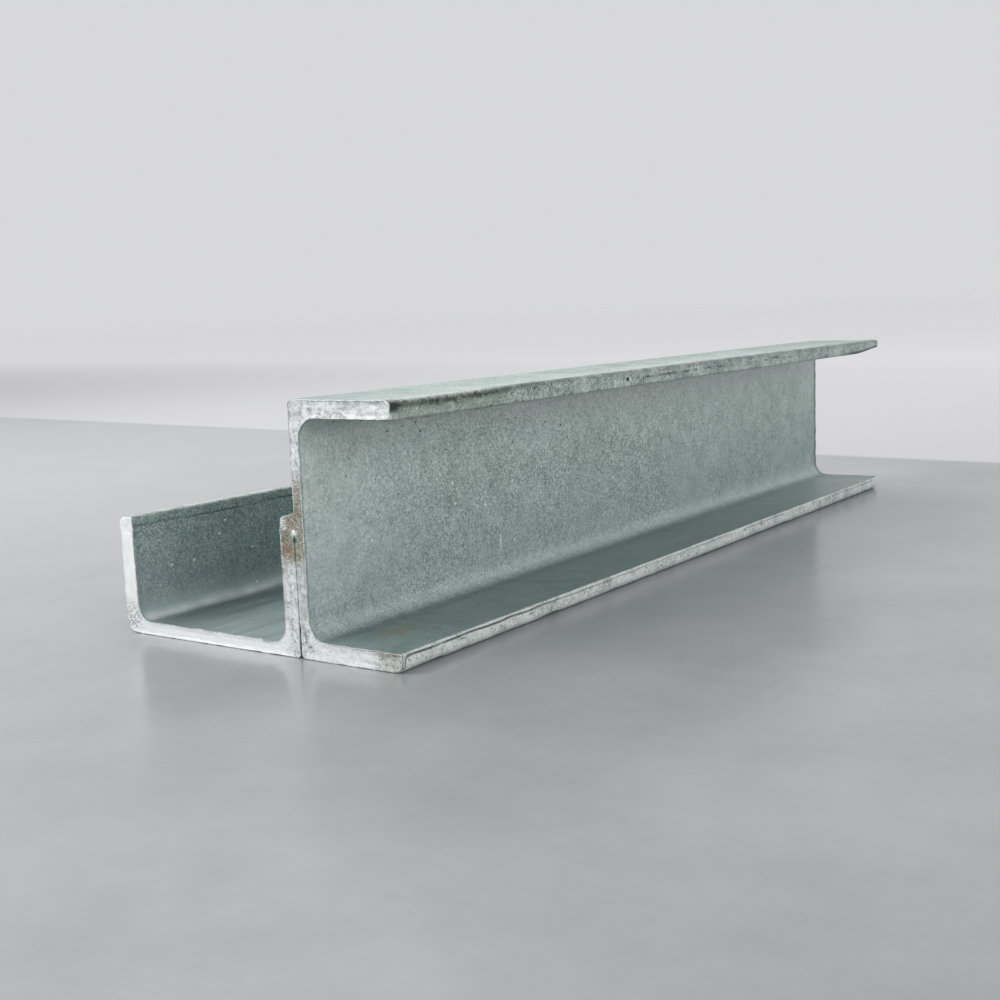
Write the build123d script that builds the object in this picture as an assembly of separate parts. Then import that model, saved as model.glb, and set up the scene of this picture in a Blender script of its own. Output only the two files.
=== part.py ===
# Retaining wall corner post: two like rolled channels stitch-welded at a right angle.
# X runs across the post, Y along it and Z up, with the floor at Z = 0.
import os

from build123d import *

# The rolled channel, one section for both channels
channel_depth = 100.0
flange_width = 50.0
flange_thickness = 7.5
web_thickness = 5.0
root_radius = 8.0
toe_outer_radius = 3.5
toe_inner_radius = 1.0
heel_radius = 1.5

# The post
post_length = 520.0
fit_up_gap = 0.5

# The stitches of fillet weld on the lying channel's toe
weld_count = 3
weld_length = 60.0
weld_side = 4.8
weld_rise = 2.2
weld_shoulder_radius = 1.2
weld_runout = 8.0

# How far a trimming shape reaches past what it trims
overrun = 5.0

# Places that follow from the sizes above
post_width = channel_depth + fit_up_gap + flange_width
lying_left_x = -post_width / 2
lying_right_x = lying_left_x + channel_depth
seam_x = lying_right_x + fit_up_gap
near_end_y = -post_length / 2
far_end_y = post_length / 2
toe_z = flange_width
groove_z = toe_z - toe_outer_radius
weld_top_z = toe_z + weld_side + weld_rise


def channel(section_plane):
    """One rolled channel: web back on the plane's Y axis, flanges towards the plane's X."""
    corners = [
        (0, 0),
        (flange_width, 0),
        (flange_width, flange_thickness),
        (web_thickness, flange_thickness),
        (web_thickness, channel_depth - flange_thickness),
        (flange_width, channel_depth - flange_thickness),
        (flange_width, channel_depth),
        (0, channel_depth),
    ]
    radii = [heel_radius, toe_outer_radius, toe_inner_radius, root_radius]
    outline = FilletPolyline(*corners, radius=radii + radii[::-1], close=True)
    section = section_plane * make_face(outline)
    return extrude(section, amount=post_length / 2, both=True)


def weld_section():
    """The bead seen from the post's end: it fills the groove at the rounded toe and covers the whole toe."""
    web_foot = (seam_x, groove_z)
    web_top = (seam_x, weld_top_z)
    toe_corner = Vector(lying_right_x - flange_thickness + toe_inner_radius, toe_z - toe_inner_radius)
    side_foot = toe_corner + Vector(-toe_inner_radius, 0).rotate(Axis.Z, -45)
    shoulder = (side_foot.X, toe_z + weld_side)
    toe_inner = (toe_corner.X, toe_z)
    toe_outer = (lying_right_x - toe_outer_radius, toe_z)
    groove_foot = (lying_right_x, groove_z)
    edges = [
        Line(web_foot, web_top),
        FilletPolyline(web_top, shoulder, side_foot, radius=weld_shoulder_radius),
        RadiusArc(side_foot, toe_inner, toe_inner_radius),
        Line(toe_inner, toe_outer),
        RadiusArc(toe_outer, groove_foot, toe_outer_radius),
        Line(groove_foot, web_foot),
    ]
    return make_face(Curve() + edges)


def weld_stitch(start_y, end_y):
    """One stitch: the bead's crown runs out to the toe at both ends, and the post's ends cut it flush."""
    bead = Plane.XZ * weld_section()
    bead = Pos(0, start_y, 0) * extrude(bead, amount=end_y - start_y, dir=(0, 1, 0))
    crown_z = weld_top_z + overrun
    side_view = Polyline(
        (start_y, groove_z),
        (start_y, toe_z),
        (start_y + weld_runout, crown_z),
        (end_y - weld_runout, crown_z),
        (end_y, toe_z),
        (end_y, groove_z),
        close=True,
    )
    runouts = extrude(Plane.YZ * make_face(side_view), amount=post_width, both=True)
    ends = Box(post_width, post_length, 2 * crown_z)
    return bead & runouts & ends


def weld_stitches():
    """Stitches spread evenly, the first and the last flush with the post's ends."""
    first_start_y = near_end_y - weld_runout
    last_start_y = far_end_y + weld_runout - weld_length
    pitch = (last_start_y - first_start_y) / (weld_count - 1)
    starts = [first_start_y + pitch * index for index in range(weld_count)]
    return [weld_stitch(start_y, start_y + weld_length) for start_y in starts]


standing_plane = Plane(origin=(seam_x, 0, 0), x_dir=(1, 0, 0), z_dir=(0, -1, 0))
lying_plane = Plane(origin=(lying_left_x, 0, 0), x_dir=(0, 0, 1), z_dir=(0, 1, 0))

pieces = {
    "standing_channel": channel(standing_plane),
    "lying_channel": channel(lying_plane),
}
for number, stitch in enumerate(weld_stitches(), start=1):
    pieces[f"toe_weld_{number}"] = stitch

os.makedirs("parts", exist_ok=True)
for node, piece in pieces.items():
    export_step(piece, f"parts/{node}.step")
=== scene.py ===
import math
import random

import bmesh
import bpy
import numpy as np
from mathutils import Matrix, Vector, noise


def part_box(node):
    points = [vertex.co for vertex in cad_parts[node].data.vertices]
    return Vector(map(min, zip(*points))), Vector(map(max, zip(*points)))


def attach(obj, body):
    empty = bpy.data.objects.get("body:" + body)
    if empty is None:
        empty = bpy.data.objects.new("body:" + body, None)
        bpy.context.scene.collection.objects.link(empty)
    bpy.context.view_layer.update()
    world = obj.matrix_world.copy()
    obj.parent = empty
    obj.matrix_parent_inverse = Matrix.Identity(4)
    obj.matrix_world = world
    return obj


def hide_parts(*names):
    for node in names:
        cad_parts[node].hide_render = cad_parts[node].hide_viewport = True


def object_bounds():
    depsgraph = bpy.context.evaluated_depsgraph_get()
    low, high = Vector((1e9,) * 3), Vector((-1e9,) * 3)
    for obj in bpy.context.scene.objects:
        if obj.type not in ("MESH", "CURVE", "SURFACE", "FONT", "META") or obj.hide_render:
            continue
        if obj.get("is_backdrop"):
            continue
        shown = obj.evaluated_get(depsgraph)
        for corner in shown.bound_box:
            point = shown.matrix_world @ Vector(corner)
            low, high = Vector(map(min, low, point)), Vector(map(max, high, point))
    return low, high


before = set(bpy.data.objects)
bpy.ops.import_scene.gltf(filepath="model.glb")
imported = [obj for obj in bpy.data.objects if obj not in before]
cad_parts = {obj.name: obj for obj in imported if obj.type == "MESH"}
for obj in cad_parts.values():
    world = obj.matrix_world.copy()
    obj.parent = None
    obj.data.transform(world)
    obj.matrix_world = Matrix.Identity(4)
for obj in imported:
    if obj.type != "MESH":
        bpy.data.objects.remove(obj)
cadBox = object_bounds()
mm = 0.001

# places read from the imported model, in mm
standingLow, standingHigh = [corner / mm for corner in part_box("standing_channel")]
lyingLow, lyingHigh = [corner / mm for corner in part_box("lying_channel")]
boxLow, boxHigh = [Vector(corner) for corner in cadBox]
depth = standingHigh.z - standingLow.z
width = standingHigh.x - standingLow.x
nearEnd = standingLow.y
farEnd = standingHigh.y
length = farEnd - nearEnd
seamX = standingLow.x
lyingRight = lyingHigh.x
toeZ = lyingHigh.z
print("frame loaded, post", round(length), "mm long")


def linearColour(hexColour):
    # sRGB hex to the linear RGBA that a shader takes
    shares = [int(hexColour[i:i + 2], 16) / 255 for i in (1, 3, 5)]
    return [s / 12.92 if s <= 0.04045 else ((s + 0.055) / 1.055) ** 2.4 for s in shares] + [1.0]


def scaleOf(size):
    # texture scale for a feature of that many mm, on coordinates in metres
    return 1 / (size * mm)


def addNode(tree, kind, inputs=(), out=0, stops=(), **settings):
    # one node with its settings. Inputs come by name or in the node's own order: a socket is linked, and
    # any other value is set.
    node = tree.nodes.new("ShaderNode" + kind)
    for name, value in settings.items():
        setattr(node, name, value)
    for key, value in inputs.items() if isinstance(inputs, dict) else enumerate(inputs):
        if isinstance(value, bpy.types.NodeSocket):
            tree.links.new(value, node.inputs[key])
        else:
            node.inputs[key].default_value = value
    for index, (position, hexColour) in enumerate(stops):
        elements = node.color_ramp.elements
        element = elements[index] if index < 2 else elements.new(position)
        element.position = position
        element.color = linearColour(hexColour)
    return node.outputs[out]


def startMaterial(name, look, stains=()):
    # a new material with the look's noise patterns, and the stains that the mesh carries
    material = bpy.data.materials.new(name)
    material.use_nodes = True
    tree = material.node_tree
    place = addNode(tree, "TexCoord", out="Object")
    patterns = [addNode(tree, "TexNoise", {"Vector": place, "Scale": scaleOf(size), "Detail": detail,
                        "Roughness": roughness, "Distortion": distortion})
                for size, detail, roughness, distortion in look["patterns"].values()]
    carried = [addNode(tree, "Attribute", out="Fac", attribute_name=stain) for stain in stains]
    return material, place, patterns, carried


def weightedSum(tree, weights, patterns):
    # the first weight, and each pattern times its own
    total = weights[0]
    for weight, pattern in zip(weights[1:], patterns):
        total = addNode(tree, "Math", [pattern, weight, total], operation="MULTIPLY_ADD")
    return total


def layStain(tree, colour, tint, amount, pattern=1.0):
    # lays a tint over the colour where the stain and its pattern both show
    mask = addNode(tree, "Math", [amount, pattern], operation="MULTIPLY", use_clamp=True)
    return addNode(tree, "Mix", {0: mask, 6: colour, 7: linearColour(tint)}, out=2, data_type="RGBA")


def finishCoat(material, look, colour, tone):
    # the tone also gives a fine relief
    tree = material.node_tree
    shader = tree.nodes["Principled BSDF"]
    strength, relief = look["bump"]
    bump = addNode(tree, "Bump", {"Height": tone, "Strength": strength, "Distance": relief * mm})
    tree.links.new(colour, shader.inputs["Base Color"])
    tree.links.new(bump, shader.inputs["Normal"])
    shader.inputs["Metallic"].default_value = look["metallic"]
    shader.inputs["Roughness"].default_value = look["roughness"]
    return shader


# Hot-dip galvanised zinc on a rolled face, dulled outdoors: a grey-green skin with a fine pepper of
# zinc crystals, soft clouds, a few white dross flecks and black pin holes, and hardly any gloss.
rolledZinc = {
    # size in mm, detail, roughness and distortion of each noise
    "patterns": {
        "grain": (0.65, 1.0, 0.6, 0.6),     # crystals; drawn coarser than life so that they show
        "patch": (2.0, 2.0, 0.7, 0.0),      # crystals of one tone lie in patches
        "cloud": (9.0, 4.0, 0.65, 0.5),
        "broad": (75.0, 2.0, 0.5, 0.0),
    },
    "streak": (1.4, 32.0),                  # rolling streaks along the post: wide and long
    "smoothGrit": 0.35,                     # streaks show where the face is less gritty than this
    "crystalWeights": (-1.75, 2.4, 1.1),            # start, grain, patch
    "toneWeights": (0.025, 1.0, 0.65, 0.3, 2.8),    # start, crystals, cloud, broad, streak
    "stops": [(0.0, "#44564f"), (0.3, "#72867e"), (0.5, "#91a79f"), (0.7, "#adbeb7"), (1.0, "#dde4e0")],
    "cool": "#8a979b",                      # bluer near the floor, to the left and in broad clouds
    "coolLow": (0.06, 0.0, -0.45, 0.0),     # heights in metres, and shares there
    "coolLeft": (0.02, -0.05, 0.0, 0.35),   # places across in metres, and shares there
    "coolBroad": 0.9,
    "coolMost": 0.6,
    "flecks": (11.0, 0.05, "#e6ece9"),      # spacing in mm, size as a share of it, tint
    "pins": (3.0, 0.2, "#39413f"),
    "fleckless": 0.8,                       # share of the cells without a fleck
    "pinless": (1.0, -0.75),                # and without a pin hole, less where the face is peppered
    # stains that the mesh carries: pale for white zinc and for painted light, dull for duller zinc and for
    # painted shade, rust, and dark for specks and pits and for painted shade in grooves and gaps
    "stains": {"bloom": ("#dce0de", 0.561), "dull": ("#4c5b59", 0.594), "rust": ("#938670", 0.528),
               "crevice": ("#36403d", 0.594)},
    "bump": (0.5, 0.08),                    # strength, and relief in mm
    "metallic": 0.4,
    "roughness": 0.48,
    "roughSpread": 0.3,
}


def makeRolledZinc():
    look = rolledZinc
    material, place, patterns, carried = startMaterial("hotDipZincRolledFace", look,
                                                       ["grit", "pepper"] + list(look["stains"]))
    tree = material.node_tree
    grain, patch, cloud, broad = patterns
    grit, pepper, *stains = carried
    across, along = [scaleOf(size) for size in look["streak"]]
    drawn = addNode(tree, "Mapping", {"Vector": place, "Scale": (across, along, across)})
    streak = addNode(tree, "TexNoise", {"Vector": drawn, "Scale": 1.0, "Detail": 2.0})
    # crystals show where the face is gritty, streaks where it is smooth
    crystals = weightedSum(tree, look["crystalWeights"], [grain, patch])
    crystals = addNode(tree, "Math", [crystals, grit], operation="MULTIPLY")
    smooth = addNode(tree, "Math", [look["smoothGrit"], grit], operation="SUBTRACT", use_clamp=True)
    streak = addNode(tree, "Math", [streak, 0.5], operation="SUBTRACT")
    streak = addNode(tree, "Math", [streak, smooth], operation="MULTIPLY")
    tone = weightedSum(tree, look["toneWeights"], [crystals, cloud, broad, streak])
    colour = addNode(tree, "ValToRGB", {"Fac": tone}, stops=look["stops"])
    axes = addNode(tree, "SeparateXYZ", [place]).node.outputs
    low = addNode(tree, "MapRange", [axes["Z"], *look["coolLow"]])
    left = addNode(tree, "MapRange", [axes["X"], *look["coolLeft"]])
    cool = addNode(tree, "Math", [low, left], operation="ADD")
    cool = addNode(tree, "Math", [broad, look["coolBroad"], cool], operation="MULTIPLY_ADD",
                   use_clamp=True)
    cool = addNode(tree, "Math", [cool, look["coolMost"]], operation="MINIMUM")
    colour = layStain(tree, colour, look["cool"], cool)
    # flecks and pin holes sit at the middle of some cells of a Voronoi pattern, frayed by the crystals
    pinless = weightedSum(tree, look["pinless"], [pepper])
    for (spacing, size, tint), share in ((look["flecks"], look["fleckless"]), (look["pins"], pinless)):
        cell = addNode(tree, "TexVoronoi", {"Vector": place, "Scale": scaleOf(spacing)}).node.outputs
        chosen = addNode(tree, "SeparateColor", [cell["Color"]]).node.outputs
        reach = weightedSum(tree, (size * 0.3, size), [chosen[1]])
        frayed = weightedSum(tree, (cell["Distance"], size * 2), [grain])
        frayed = addNode(tree, "Math", [frayed, size], operation="SUBTRACT")
        spot = addNode(tree, "Math", [frayed, reach], operation="LESS_THAN")
        kept = addNode(tree, "Math", [chosen[0], share], operation="GREATER_THAN")
        colour = layStain(tree, colour, tint, spot, kept)
    for amount, (tint, strength) in zip(stains, look["stains"].values()):
        broken = addNode(tree, "Math", [amount, patch, amount], operation="MULTIPLY_ADD")
        colour = layStain(tree, colour, tint, broken, strength)
    shader = finishCoat(material, look, colour, tone)
    spread = look["roughSpread"]
    rough = weightedSum(tree, (look["roughness"] - spread / 2, spread), [patch])
    tree.links.new(rough, shader.inputs["Roughness"])
    return material


# Hot-dip galvanised zinc on a sawn end: thick chalky white zinc, wiped along the strip of steel while
# molten, with grey smears where it is thin and a net of brown rust bleeding out beside the weld.
# Painted shade darkens the weld's open root.
sawnEndZinc = {
    "patterns": {"grain": (0.5, 1.0, 0.6, 0.0), "blotch": (3.2, 4.0, 0.65, 0.8)},
    "smear": (12.0, 1.5),                   # long and wide
    # where a pattern shows: the noise's values where it starts and is full, and its strength there
    "thin": (0.62, 0.38, 0.4, 1.8),         # speckle where the zinc is thin
    "net": (0.58, 0.4),                     # stains in a net between the grains
    "solid": (0.7, 0.4, 0.6, 1.0),          # stains nearly all over
    "spotCore": 0.4,                        # share of a round stain's reach in which it is full
    "toneWeights": (-0.75, 1.0, 1.9, 0.7),  # start, speckle, blotch, smear
    "stops": [(0.0, "#747c7b"), (0.25, "#a0a7a5"), (0.48, "#c6cbca"), (0.72, "#dde1e1"), (1.0, "#f0f2f2")],
    "bloom": "#f4f6f6",
    "dull": "#a3aba8",
    "rustWash": "#8e8b78",
    "rust": "#5b5542",
    "pin": "#626967",
    # round stains: across, up and reach in mm, and tint
    "orange": (20.2, 41.5, 3.6, "#7d5a38"),
    "root": (24.6, 47.0, 3.2, "#8ea29b"),   # grey-green round the open root of the weld
    # painted shade: a dark spot in the weld's open root
    "holeShade": (24.95, 46.2, 1.5, "#343d39"),
    "drop": (24.85, 49.0, 1.7, "#dfe5e1"),  # a drop of zinc hangs in the root
    "bump": (0.5, 0.2),
    "metallic": 0.15,
    "roughness": 0.58,
}


def makeSawnEndZinc():
    look = sawnEndZinc
    material, place, (grain, blotch), carried = startMaterial(
        "hotDipZincSawnEnd", look, ["stripRun", "stripAcross", "dull", "rust", "bloom", "pepper"])
    tree = material.node_tree
    run, across, dull, rust, bloom, pepper = carried
    strip = addNode(tree, "CombineXYZ", [run, across])
    along, aside = [scaleOf(size) for size in look["smear"]]
    drawn = addNode(tree, "Mapping", {"Vector": strip, "Scale": (along, aside, 1.0)})
    smear = addNode(tree, "TexNoise", {"Vector": drawn, "Scale": 1.0, "Detail": 3.0, "Roughness": 0.6})
    # speckle shows in the darker blotches and hardly in the thick white zinc
    speckle = addNode(tree, "Math", [grain, 0.5], operation="SUBTRACT")
    thin = addNode(tree, "MapRange", [blotch, *look["thin"]])
    speckle = addNode(tree, "Math", [speckle, thin], operation="MULTIPLY")
    tone = weightedSum(tree, look["toneWeights"], [speckle, blotch, smear])
    colour = addNode(tree, "ValToRGB", {"Fac": tone}, stops=look["stops"])
    net = addNode(tree, "MapRange", [grain, *look["net"]])
    solid = addNode(tree, "MapRange", [blotch, *look["solid"]])
    stains = [("dull", dull, solid), ("rustWash", rust, solid), ("rust", rust, net)]
    stains = [(look[name], amount, pattern) for name, amount, pattern in stains]
    flat = addNode(tree, "Mapping", {"Vector": place, "Scale": (1.0, 0.0, 1.0)})
    for name, pattern in (("orange", net), ("root", solid), ("holeShade", 1.0), ("drop", 1.0)):
        x, z, reach, tint = look[name]
        away = addNode(tree, "VectorMath", [flat, (x * mm, 0.0, z * mm)], out="Value", operation="DISTANCE")
        spot = addNode(tree, "MapRange", [away, reach * mm, reach * look["spotCore"] * mm])
        stains.append((tint, spot, pattern))
    for stain in stains + [(look["bloom"], bloom, solid), (look["pin"], pepper, net)]:
        colour = layStain(tree, colour, *stain)
    finishCoat(material, look, colour, tone)
    return material


# Hot-dip galvanised zinc on a flange's toe: the coat runs to the edge and sets thick and speckled,
# pale where it is clean, and near the sawn end dulled to olive, with black scabs along the upper edge.
# Painted highlights lie on its rounded edges, and painted shade lies in its grooves, pits and corner gap
# and along the low toe's foot.
toeZinc = {
    "patterns": {"grain": (0.5, 1.0, 0.6, 0.0), "patch": (1.4, 2.0, 0.7, 0.0),
                 "blotch": (8.0, 4.0, 0.6, 0.6), "scab": (2.2, 3.0, 0.6, 0.7)},
    "toneWeights": (-1.05, 1.4, 0.8, 0.9),  # start, grain, patch, blotch
    "stops": [(0.0, "#3c4944"), (0.3, "#6e7d78"), (0.5, "#8f9d98"), (0.72, "#acb8b2"), (1.0, "#d0d8d3")],
    "bloom": "#d2d8d5",
    "bloomLift": (-0.15, 1.9),              # start, tone
    "olive": "#7f8a7a",
    "oliveShare": 0.4,
    "scabTint": "#1f2823",
    # metres from the outer edge where the scabs start and are thickest, and their strength there
    "scabBand": (0.0046, 0.0012, 0.1, 1.2),
    "scabThick": (0.48, 0.58),              # the noise's values where a scab starts and is full
    "pit": "#1a201e",
    "pitSpacing": 4.5,
    "pitSize": 0.12,                        # share of the spacing
    "pitless": 0.72,                        # share of the cells without a pit
    # near black for pits and specks, and painted shade in grooves and gaps
    "crevice": "#131a17",
    "creviceGloss": (0.5, -0.45),           # no glint in a pit
    "bump": (0.6, 0.12),
    "metallic": 0.25,
    "roughness": 0.55,
}


def makeToeZinc():
    look = toeZinc
    material, place, (grain, patch, blotch, scab), carried = startMaterial(
        "hotDipZincToeEdge", look, ["bloom", "dull", "crevice", "stripAcross"])
    tree = material.node_tree
    bloom, dull, crevice, across = carried
    tone = weightedSum(tree, look["toneWeights"], [grain, patch, blotch])
    lift = weightedSum(tree, look["bloomLift"], [tone])
    band = addNode(tree, "MapRange", [across, *look["scabBand"]])
    thick = addNode(tree, "MapRange", [scab, *look["scabThick"]])
    scabs = addNode(tree, "Math", [band, thick], operation="MULTIPLY")
    cell = addNode(tree, "TexVoronoi", {"Vector": place, "Scale": scaleOf(look["pitSpacing"])}).node.outputs
    chosen = addNode(tree, "SeparateColor", [cell["Color"]]).node.outputs
    pit = addNode(tree, "Math", [cell["Distance"], look["pitSize"]], operation="LESS_THAN")
    kept = addNode(tree, "Math", [chosen[0], look["pitless"]], operation="GREATER_THAN")
    colour = addNode(tree, "ValToRGB", {"Fac": tone}, stops=look["stops"])
    for name, amount, pattern in (("bloom", bloom, lift), ("olive", dull, look["oliveShare"]),
                                  ("scabTint", dull, scabs), ("pit", pit, kept), ("crevice", crevice, 1.0)):
        colour = layStain(tree, colour, look[name], amount, pattern)
    shader = finishCoat(material, look, colour, tone)
    gloss = weightedSum(tree, look["creviceGloss"], [crevice])
    tree.links.new(gloss, shader.inputs["Specular IOR Level"])
    return material


# Galvanised weld metal: zinc lies thin and bright over the ripples and the iron bleeds through as rust.
weldZinc = {
    "patterns": {"grain": (0.6, 2.0, 0.65, 0.0), "blotch": (6.0, 3.0, 0.5, 0.5)},
    "toneWeights": (-0.5, 1.2, 0.8),        # start, grain, blotch
    "stops": [(0.0, "#67716d"), (0.35, "#8d9692"), (0.6, "#a9b1ad"), (1.0, "#d0d5d2")],
    "rust": "#7d6243",
    "rustLift": (-0.7, 2.4),                # start, grain
    "bump": (0.4, 0.08),
    "metallic": 0.45,
    "roughness": 0.5,
}


def makeWeldZinc():
    look = weldZinc
    material, _, (grain, blotch), (rust,) = startMaterial("hotDipZincOnWeld", look, ["rust"])
    tree = material.node_tree
    tone = weightedSum(tree, look["toneWeights"], [grain, blotch])
    lift = weightedSum(tree, look["rustLift"], [grain])
    colour = addNode(tree, "ValToRGB", {"Fac": tone}, stops=look["stops"])
    colour = layStain(tree, colour, look["rust"], rust, lift)
    finishCoat(material, look, colour, tone)
    return material


rolledFace = makeRolledZinc()
sawnEnd = makeSawnEndZinc()
toeEdge = makeToeZinc()
weldFace = makeWeldZinc()
onFace, onEnd, onToe = 0, 1, 2     # places of the materials in a piece's list
print("materials made")


def ease(low, high, value):
    # eased step from 0 at low to 1 at high
    share = min(max((value - low) / (high - low), 0.0), 1.0)
    return share * share * (3 - 2 * share)


def ridge(value, centre, halfWidth):
    # 1 at the centre, easing to 0 half a width to each side
    return 1 - ease(0, halfWidth, abs(value - centre))


def rounding(radius, fromEdge):
    # how far a rounded edge lies back, that far from it
    short = max(radius - fromEdge, 0.0)
    return radius - math.sqrt(radius ** 2 - short ** 2)


def waves(x, y, z, size):
    # smooth noise from -1 to 1 with features of that size in mm
    return noise.noise(Vector((x, y, z)) / size)


stainNames = ("crevice", "bloom", "dull", "rust", "pepper", "grit", "stripRun", "stripAcross")


def newSkin():
    # a mesh under construction: places in mm, and for each place the stains that the materials read
    return {"verts": [], "faces": [], "materials": [], "stains": {name: [] for name in stainNames}}


def addVert(skin, place, **stains):
    skin["verts"].append(place)
    for name in stainNames:
        skin["stains"][name].append(min(max(stains.get(name, 0.0), 0.0), 1.0))
    return len(skin["verts"]) - 1


def addFace(skin, verts, material):
    skin["faces"].append(verts)
    skin["materials"].append(material)


def addDrop(skin, centre, size, material, **stains):
    # a closed drop of zinc, half sunk in what carries it
    ball = bmesh.new()
    bmesh.ops.create_icosphere(ball, subdivisions=2, radius=1)
    first = len(skin["verts"])
    for vert in ball.verts:
        addVert(skin, tuple(c + s * p for c, s, p in zip(centre, size, vert.co)), **stains)
    for face in ball.faces:
        addFace(skin, tuple(first + vert.index for vert in face.verts), material)
    ball.free()


def meshPiece(name, skin, materials):
    places = np.clip(np.array(skin["verts"]) * mm, np.array(boxLow), np.array(boxHigh))
    mesh = bpy.data.meshes.new(name)
    mesh.from_pydata(places.tolist(), [], skin["faces"])
    for material in materials:
        mesh.materials.append(material)
    mesh.polygons.foreach_set("material_index", skin["materials"])
    for key, values in skin["stains"].items():
        mesh.attributes.new(key, "FLOAT", "POINT").data.foreach_set("value", values)
    shell = bmesh.new()
    shell.from_mesh(mesh)
    bmesh.ops.recalc_face_normals(shell, faces=shell.faces[:])
    shell.to_mesh(mesh)
    shell.free()
    mesh.shade_smooth()
    piece = bpy.data.objects.new(name, mesh)
    bpy.context.scene.collection.objects.link(piece)
    return piece


# The rolled section, in mm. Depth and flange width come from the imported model.
rolledSection = {
    "flangeThick": 7.5,
    "webThick": 5.0,
    "rootRadius": 8.0,
    "heelRadius": 1.5,
    "toeOuterRadius": 3.5,
    "toeInnerRadius": 1.0,
    "closeRows": [0.6, 1.3, 2.2, 3.2, 3.9, 4.3, 4.7, 5.2, 6.2, 7.8],   # rows near the toe
    "rowStep": 2.6,
    "cornerCells": 7,
    "toeCells": (8, 8, 4),     # outer corner, flat, inner corner
    "endRows": [0.0, 0.08, 0.25, 0.5, 0.8, 1.1, 1.4, 1.7, 2.0, 2.4, 2.9, 3.5, 4.2],
    "stationStep": 2.2,
    "wrapRows": 1,             # rows of the rounded edge that still look like the sawn end
    "endReach": 0.6,           # stains of the sawn end reach this far round the edge
    "innerRim": {"dull": 0.5, "bloom": 0.0},     # the inner rim is grey
    "sawnDent": 0.24,          # dents in the sawn end
    "toeDent": 1.3,            # and how much deeper they are towards a toe
}


def arcRow(centre, radius, startTurn, endTurn, cells):
    turns = np.radians(np.linspace(startTurn, endTurn, cells + 1))
    return [(centre[0] + radius * math.cos(t), centre[1] + radius * math.sin(t)) for t in turns]


def lineRow(start, end, shares):
    return [(start[0] + (end[0] - start[0]) * s, start[1] + (end[1] - start[1]) * s) for s in shares]


def highSide(row):
    # the same points on the section's other half
    return [(u, depth - v) for u, v in row]


def sectionRows():
    # matching rows of points on the outer and the inner side, from toe to toe, and the toes' contours
    size = rolledSection
    thick, web = size["flangeThick"], size["webThick"]
    root, heel = size["rootRadius"], size["heelRadius"]
    toeOut, toeIn = size["toeOuterRadius"], size["toeInnerRadius"]
    flangeRun = width - toeIn - web - root
    closeEnd = size["closeRows"][-1]
    steps = round((flangeRun - closeEnd) / size["rowStep"])
    rows = [0.0] + size["closeRows"]
    rows += [closeEnd + (flangeRun - closeEnd) * (i + 1) / steps for i in range(steps)]
    flangeShares = [row / flangeRun for row in rows]
    webShares = np.linspace(0, 1, round(depth / 2 / size["rowStep"]) + 1)
    cells = size["cornerCells"]
    outer = lineRow((width - toeOut, 0), (heel, 0), flangeShares)
    outer += arcRow((heel, heel), heel, -90, -180, cells)[1:]
    outer += lineRow((0, heel), (0, depth / 2), webShares)[1:]
    inner = lineRow((width - toeIn, thick), (web + root, thick), flangeShares)
    inner += arcRow((web + root, thick + root), root, -90, -180, cells)[1:]
    inner += lineRow((web, thick + root), (web, depth / 2), webShares)[1:]
    outCells, flatCells, inCells = size["toeCells"]
    toe = arcRow((width - toeOut, toeOut), toeOut, -90, 0, outCells)
    toe += lineRow((width, toeOut), (width, thick - toeIn), np.linspace(0, 1, flatCells + 1))[1:]
    toe += arcRow((width - toeIn, thick - toeIn), toeIn, 0, 90, inCells)[1:]
    return outer + highSide(outer[-2::-1]), inner + highSide(inner[-2::-1]), toe, highSide(toe)


def stationRows():
    # places along the post, close together at the ends
    ends = rolledSection["endRows"]
    middle = length - 2 * ends[-1]
    steps = round(middle / rolledSection["stationStep"])
    offsets = ends + [ends[-1] + middle * (i + 1) / steps for i in range(steps - 1)]
    return [nearEnd + offset for offset in offsets] + [farEnd - offset for offset in reversed(ends)]


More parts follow.
